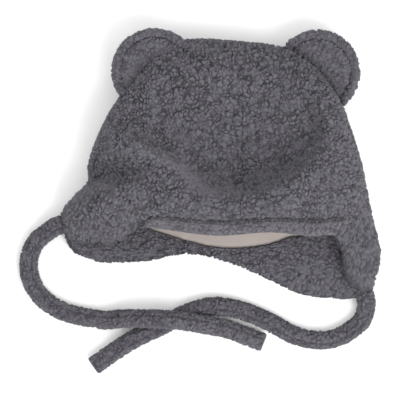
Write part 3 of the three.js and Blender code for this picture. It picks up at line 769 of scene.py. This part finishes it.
def lining_material(name):
    shader = Shader(name, roughness=0.85, sheen=0.05)
    knit = shader.node(
        "ShaderNodeTexWave",
        {"wave_type": "BANDS", "bands_direction": "X", "wave_profile": "SIN"},
        Vector=shader.place, Scale=480.0, Distortion=1.5,
    )
    ribs = Value(shader, knit.outputs["Fac"])
    tone = shader.noise(40.0, 3.0)
    base = colours().lining
    amount = (tone * 0.7 + ribs * 0.2 + 0.05).clamped()
    shader.feed(shader.surface.inputs["Base Color"], shader.mix(amount, rgba(base, 0.86), rgba(base, 1.08)))
    shader.bump(ribs * 0.6 + shader.noise(900.0, 2.0) * 0.4, 0.0003, 0.5)
    return shader.material


def thread_material(name):
    shader = Shader(name, roughness=0.8)
    twist = shader.noise(2500.0, 1.0)
    base = colours().thread
    shader.feed(shader.surface.inputs["Base Color"], shader.mix(twist, rgba(base, 0.8), rgba(base, 1.3)))
    return shader.material


def floor_material(name):
    shader = Shader(name, roughness=0.9)
    grain = shader.noise(60.0, 2.0)
    base = colours().floor
    shader.feed(shader.surface.inputs["Base Color"], shader.mix(grain, rgba(base, 0.995), rgba(base, 1.0)))
    return shader.material


def finish_piece(obj, material, slot, *nodes):
    """Gives a piece its material, hangs it from the body and hides the solids that it stands for."""
    obj.data.materials.clear()
    obj.data.materials.append(material)
    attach(obj, BODY)
    if nodes:
        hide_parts(*nodes)


def hem_top():
    """Where the hem begins, as a place from the crown's top edge to the mouth."""
    return 1 - sizes().hem / body_length()


def crown_end(places):
    """How far the crown's fleece runs down: to the hem at the brow, elsewhere to the mouth."""
    turn = places - np.floor(places)
    inside = np.minimum((turn - HEM_FROM) / HEM_STEP, (HEM_TO - turn) / HEM_STEP) + HEM_MARGIN
    share = sizes().layer_gap / body_length()
    return 1 + (hem_top() - HEM_GAP_SHARE * share - 1) * np.clip(inside, 0, 1)


def crown_panel(name, front, crease):
    """A panel from the front's middle seam round a crease to the back's. The back has every second column
    of the front."""
    s = sizes()
    back = 2 * crease - front[::2]
    turns = np.unique(np.round(np.concatenate([front, back]), 9))
    rows = np.minimum(rows_from_top(s.mesh_step)[None, :], crown_end(turns)[:, None])
    return wall(name, turns, rows, (0.0, s.fleece), s.curl, (s.relief, 0.0), s.relief, COARSER)


class HAT_OT_crown(bpy.types.Operator):
    """Makes the two fleece crown panels with their flaps"""

    bl_idname = "hat.crown"
    bl_label = "Crown and flaps"

    def execute(self, context):
        s = sizes()
        gap = HALF_SEAM / (math.pi * s.width)
        left = columns_between(0, SEAM_TURN - gap, s.mesh_step, 2 * COARSER)
        right = columns_between(SEAM_TURN + gap, 0.5, s.mesh_step, 2 * COARSER)
        left = crown_panel("crown_left_fleece", left, 0.0)
        right = crown_panel("crown_right_fleece", right, 0.5)
        finish_piece(left, fleece(), "fleece", "crown_left")
        finish_piece(right, fleece(), "fleece", "crown_right")
        return {"FINISHED"}


class HAT_OT_hem(bpy.types.Operator):
    """Makes the turned hem at the brow"""

    bl_idname = "hat.hem"
    bl_label = "Brow hem"

    def execute(self, context):
        s = sizes()
        turns = columns_between(HEM_FROM, HEM_TO, HEM_MESH_STEP)
        rows = np.repeat(np.linspace(hem_top(), 1, HEM_ROWS)[None, :], len(turns), 0)
        relief = (s.relief * HEM_PILE[0], s.relief * HEM_PILE[1])
        hem = wall(
            "brow_hem_fleece", turns, rows, (0.0, s.hem_wall), s.curl, relief,
            s.relief * HEM_RIM_PILE, calm=HEM_CALM,
        )
        finish_piece(hem, once("pressed_fleece", pressed_fleece), "hem", "brow_hem")
        return {"FINISHED"}


class HAT_OT_inside(bpy.types.Operator):
    """Makes the facing of the flaps and neck, and the jersey lining"""

    bl_idname = "hat.inside"
    bl_label = "Facing and lining"

    def execute(self, context):
        s = sizes()
        depth = s.fleece + s.layer_gap
        margin = HEM_MARGIN * HEM_STEP
        turns = columns_between(HEM_TO + margin, 1 + HEM_FROM - margin, FACING_MESH_STEP)
        start = read(FACING_TOP, "turn", "v", turns - np.floor(turns))
        rows = start[:, None] + (1 - start)[:, None] * np.linspace(0, 1, FACING_ROWS)[None, :]
        facing = wall(
            "flap_facing_fleece", turns, rows, (depth, depth + s.facing),
            s.curl * FACING_PILE[0], (0.0, s.relief * FACING_PILE[1]), s.relief,
        )
        finish_piece(facing, fleece(), "fleece", "flap_facing")
        front = columns_between(0, 0.5, LINING_MESH_STEPS[0])
        turns = np.concatenate([front, 1 - front[-2::-1]])
        end = read(FACING_TOP, "turn", "v", turns) - LINING_GAP_SHARE * s.layer_gap / body_length()
        rows = rows_from_top(LINING_MESH_STEPS[1])[None, :] * end[:, None]
        lining = wall("jersey_lining", turns, rows, (depth, depth + s.lining))
        finish_piece(lining, once("cotton_jersey", lining_material), "lining", "lining")
        return {"FINISHED"}


def from_solid(name, node, voxel):
    """A closed, evenly meshed copy of a solid."""
    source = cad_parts[node]
    obj = bpy.data.objects.new(name, source.data.copy())
    bpy.context.scene.collection.objects.link(obj)
    weld(obj, 1e-6)
    remesh = obj.modifiers.new("remesh", "REMESH")
    remesh.mode = "VOXEL"
    remesh.voxel_size = voxel * MM
    remesh.use_smooth_shade = True
    relax = obj.modifiers.new("relax", "SMOOTH")
    relax.factor = 0.5
    relax.iterations = 8
    return applied(obj)


def crown_spots():
    """A tree of points all over the upper front of the crown."""
    turn, v = np.meshgrid(*(np.linspace(0, 0.5, count) for count in EAR_SHADE_GRID), indexing="ij")
    spots = surface(turn, v)[0].reshape(-1, 3)
    tree = KDTree(len(spots))
    for index, spot in enumerate(spots):
        tree.insert(spot, index)
    tree.balance()
    return tree


def add_pile(obj, curl, relief, crown, shade):
    """Pushes a mesh's points out and in by the curly pile, which is darker by shade beside the crown."""
    mesh = obj.data
    count = len(mesh.vertices)
    point = np.empty(count * 3, np.float32)
    normal = np.empty(count * 3, np.float32)
    mesh.vertices.foreach_get("co", point)
    mesh.vertices.foreach_get("normal", normal)
    point = point.reshape(-1, 3).astype(float) / MM
    height = pile(point, curl)
    away = np.array([crown.find(p)[2] for p in point])
    point += normal.reshape(-1, 3) * ((height - EAR_LEVEL) * relief)[:, None]
    mesh.vertices.foreach_set("co", (point * MM).astype(np.float32).ravel())
    look = EAR_TONE + (height - EAR_TONE) * EAR_CONTRAST - shade * groove(away, EAR_SHADE_WIDTH)
    layer = mesh.attributes.new("pile", "FLOAT", "POINT")
    layer.data.foreach_set("value", look.astype(np.float32))
    mesh.update()


class HAT_OT_ears(bpy.types.Operator):
    """Makes the two layers of each ear"""

    bl_idname = "hat.ears"
    bl_label = "Ears"

    def execute(self, context):
        s = sizes()
        crown = crown_spots()
        for side, part in product(EAR_SHADES, ("back", "front")):
            node = f"ear_{side}_{part}"
            ear = from_solid(f"{node}_fleece", node, s.mesh_step)
            add_pile(ear, s.curl, s.relief * EAR_PILE, crown, EAR_SHADES[side])
            finish_piece(ear, fleece(), "fleece", node)
        return {"FINISHED"}


def smooth_route(route, spacing):
    """Even points along the smooth curve of a route."""
    dense = spline(route, len(route) * 24)
    length = np.concatenate([[0], np.cumsum(np.linalg.norm(np.diff(dense, axis=0), axis=1))])
    count = max(2, int(round(length[-1] / spacing)))
    even = np.linspace(0, length[-1], count + 1)
    return np.stack([np.interp(even, length, dense[:, k]) for k in range(3)], -1), length[-1]


def tie_piece(name, route, node):
    """A fleece tube along the route, with sewn square ends."""
    s = sizes()
    height = s.tie_height * (0.5 + np.array(route["lift"])) + TIE_CLEARANCE
    points = np.stack([np.array(route["x"]) * s.width, np.array(route["y"]) * s.length, height], -1)
    path, length = smooth_route(points - CENTRE, TIE_SPACING)
    root = path[0] - path[3]
    root = path[0] + (root / np.linalg.norm(root)) * np.arange(TIE_ROOT, 0, -TIE_SPACING)[:, None]
    centres = [tuple(p * MM) for p in path[::TIE_STATED_EVERY]]
    path = np.concatenate([root, path])
    tangent = np.gradient(path, axis=0)
    tangent /= np.linalg.norm(tangent, axis=1, keepdims=True)
    sideways = np.cross(tangent, [0, 0, 1.0])
    sideways /= np.linalg.norm(sideways, axis=1, keepdims=True)
    upward = np.cross(sideways, tangent)
    angle = np.linspace(0, 2 * np.pi, TIE_SIDES, endpoint=False)
    distance = np.linspace(-TIE_ROOT, length, len(path))
    end = np.minimum(distance + TIE_ROOT, length - distance)
    taper = np.sqrt(np.clip(1 - (1 - np.clip(end / TIE_END_ROUNDING, 0, 1)) ** 2, 0.02, 1))
    across = np.cos(angle)[None, :, None] * sideways[:, None, :]
    up = np.sin(angle)[None, :, None] * upward[:, None, :]
    half_width, half_height = s.tie_width / 2 - TIE_INSETS[0], s.tie_height / 2 - TIE_INSETS[1]
    ring = across * half_width + up * half_height * taper[:, None, None]
    ring *= (1 - TIE_END_SHARE + TIE_END_SHARE * taper)[:, None, None]
    out = across / s.tie_width + up / s.tie_height
    out /= np.linalg.norm(out, axis=-1, keepdims=True)
    cloth = path[:, None, :] + ring
    height = pile(cloth, s.curl * TIE_PILE[0])
    seam = groove(angle - TIE_SEAM_ANGLE, TIE_SEAM_WIDTH)[None, :]
    lift = (height - PILE_LEVEL) * s.relief * TIE_PILE[1] - seam * TIE_SEAM_DEPTH
    cloth = cloth + out * lift[..., None]
    cloth[..., 2] = np.maximum(cloth[..., 2], 2 * FLOOR_CLEARANCE)
    index = np.arange(height.size).reshape(height.shape)
    after = np.roll(index, -1, 1)
    faces = np.stack([index[:-1], after[:-1], after[1:], index[1:]], -1).reshape(-1, 4).tolist()
    faces += [[height.size, b, a] for a, b in zip(index[0], after[0])]
    faces += [[height.size + 1, a, b] for a, b in zip(index[-1], after[-1])]
    piles = np.concatenate([(height - TIE_SEAM_SHADE * seam).ravel(), [0.5, 0.5]])
    obj = make_object(name, np.concatenate([cloth.reshape(-1, 3), path[[0, -1]]]), faces, {"pile": piles})
    bm = bmesh.new()
    bm.from_mesh(obj.data)
    bmesh.ops.recalc_face_normals(bm, faces=bm.faces)
    bm.to_mesh(obj.data)
    bm.free()
    finish_piece(obj, fleece(), "fleece", node)
    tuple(centres[0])


class HAT_OT_ties(bpy.types.Operator):
    """Makes the two fleece ties"""

    bl_idname = "hat.ties"
    bl_label = "Ties"

    def execute(self, context):
        tie_piece("tie_left_fleece", TIE_LEFT, "tie_left")
        tie_piece("tie_right_fleece", TIE_RIGHT, "tie_right")
        return {"FINISHED"}


def stitch_tree(length, pitch, radius):
    """Geometry nodes that lay stitches along a curve."""
    tree = bpy.data.node_groups.new("stitches", "GeometryNodeTree")
    tree.interface.new_socket("Path", in_out="INPUT", socket_type="NodeSocketGeometry")
    for name, value in (("Stitch length", length), ("Pitch", pitch), ("Thread radius", radius)):
        socket = tree.interface.new_socket(name, in_out="INPUT", socket_type="NodeSocketFloat")
        socket.default_value = value
    tree.interface.new_socket("Stitches", in_out="OUTPUT", socket_type="NodeSocketGeometry")
    node = tree.nodes.new
    link = tree.links.new
    given, result = node("NodeGroupInput"), node("NodeGroupOutput")
    curve = node("GeometryNodeMeshToCurve")
    link(given.outputs["Path"], curve.inputs[0])
    points = node("GeometryNodeCurveToPoints")
    points.mode = "LENGTH"
    link(curve.outputs[0], points.inputs["Curve"])
    link(given.outputs["Pitch"], points.inputs["Length"])
    bead = node("GeometryNodeMeshUVSphere")
    bead.inputs["Segments"].default_value = 8
    bead.inputs["Rings"].default_value = 6
    link(given.outputs["Thread radius"], bead.inputs["Radius"])
    ratio = node("ShaderNodeMath")
    ratio.operation = "DIVIDE"
    link(given.outputs["Stitch length"], ratio.inputs[0])
    link(given.outputs["Thread radius"], ratio.inputs[1])
    half = node("ShaderNodeMath")
    half.operation = "MULTIPLY"
    half.inputs[1].default_value = 0.5
    link(ratio.outputs[0], half.inputs[0])
    stretch = node("ShaderNodeCombineXYZ")
    stretch.inputs[0].default_value = 1.0
    stretch.inputs[1].default_value = 1.0
    link(half.outputs[0], stretch.inputs[2])
    placed = node("GeometryNodeInstanceOnPoints")
    link(points.outputs["Points"], placed.inputs["Points"])
    link(bead.outputs["Mesh"], placed.inputs["Instance"])
    link(points.outputs["Rotation"], placed.inputs["Rotation"])
    link(stretch.outputs[0], placed.inputs["Scale"])
    real = node("GeometryNodeRealizeInstances")
    link(placed.outputs[0], real.inputs[0])
    coat = node("GeometryNodeSetMaterial")
    coat.inputs["Material"].default_value = once("sewing_thread", thread_material)
    link(real.outputs[0], coat.inputs["Geometry"])
    link(coat.outputs[0], result.inputs[0])
    return tree


class HAT_OT_stitches(bpy.types.Operator):
    """Sews the line of stitches along the hem's top edge"""

    bl_idname = "hat.stitches"
    bl_label = "Hem stitches"

    def execute(self, context):
        s = sizes()
        turns = np.linspace(HEM_FROM + STITCH_MARGIN, HEM_TO - STITCH_MARGIN, STITCH_ROUTE_POINTS)
        v = np.full_like(turns, hem_top() + STITCH_PLACE / body_length())
        point, normal = surface(turns, v)
        point = point - normal * STITCH_SUNK
        mesh = bpy.data.meshes.new("hem_stitches")
        edges = [(k, k + 1) for k in range(len(point) - 1)]
        mesh.from_pydata((point * MM).tolist(), edges, [])
        obj = bpy.data.objects.new("hem_stitches", mesh)
        context.scene.collection.objects.link(obj)
        modifier = obj.modifiers.new("stitches", "NODES")
        pitch = s.stitch * STITCH_PITCH
        modifier.node_group = stitch_tree(s.stitch * MM, pitch * MM, STITCH_RADIUS * MM)
        applied(obj)
        finish_piece(obj, once("sewing_thread", thread_material), "hem")
        return {"FINISHED"}


class HAT_OT_stage(bpy.types.Operator):
    """Makes the camera, the lights and the floor"""

    bl_idname = "hat.stage"
    bl_label = "Stage"

    def execute(self, context):
        scene = context.scene
        camera = bpy.data.objects.new("camera", bpy.data.cameras.new("camera"))
        scene.collection.objects.link(camera)
        camera.data.sensor_width = SENSOR
        camera.data.lens = SENSOR * (CAMERA_HEIGHT - FOCUS_HEIGHT) / CAMERA_WIDTH
        camera.data.clip_end = 20
        camera.location = (*((np.array(CAMERA_OVER) - CENTRE[:2]) * MM), CAMERA_HEIGHT)
        scene.camera = camera
        scene.view_settings.view_transform = "Standard"

        corners = [(x * FLOOR_REACH, y * FLOOR_REACH, 0) for x, y in ((-1, -1), (1, -1), (1, 1), (-1, 1))]
        floor = make_object("floor", corners, [(0, 1, 2, 3)])
        floor.data.materials.append(once("pale_floor", floor_material))

        world = bpy.data.worlds.new("studio")
        world.use_nodes = True
        world.node_tree.nodes["Background"].inputs[0].default_value = (1, 1, 1, 1)
        world.node_tree.nodes["Background"].inputs[1].default_value = WORLD_LIGHT
        scene.world = world
        for name, lamp in LAMPS.items():
            light = bpy.data.lights.new(name, "AREA")
            light.size = lamp["size"]
            light.energy = lamp["power"]
            obj = bpy.data.objects.new(name, light)
            obj.location = lamp["place"]
            aim = Vector(LAMP_AIM) - Vector(lamp["place"])
            obj.rotation_euler = aim.to_track_quat("-Z", "Y").to_euler()
            scene.collection.objects.link(obj)
        return {"FINISHED"}


class HAT_PT_panel(bpy.types.Panel):
    """Lists the hat's steps"""

    bl_label = "Baby hat with ears"
    bl_idname = "HAT_PT_panel"
    bl_space_type = "VIEW_3D"
    bl_region_type = "UI"
    bl_category = "Hat"

    def draw(self, context):
        for group in (context.scene.hat_sizes, context.scene.hat_colours):
            for name in group.__annotations__:
                self.layout.prop(group, name)
        for operator in OPERATORS:
            self.layout.operator(operator.bl_idname)


OPERATORS = (
    HAT_OT_stage, HAT_OT_ties, HAT_OT_crown, HAT_OT_hem, HAT_OT_inside, HAT_OT_ears, HAT_OT_stitches,
)
CLASSES = (HatSizes, HatColours, *OPERATORS, HAT_PT_panel)


def register():
    for cls in CLASSES:
        bpy.utils.register_class(cls)
    bpy.types.Scene.hat_sizes = bpy.props.PointerProperty(type=HatSizes)
    bpy.types.Scene.hat_colours = bpy.props.PointerProperty(type=HatColours)


def unregister():
    del bpy.types.Scene.hat_sizes
    del bpy.types.Scene.hat_colours
    for cls in reversed(CLASSES):
        bpy.utils.unregister_class(cls)


def main():
    register()
    for operator in OPERATORS:
        group, name = operator.bl_idname.split(".")
        getattr(getattr(bpy.ops, group), name)()


if __name__ == "__main__":
    main()
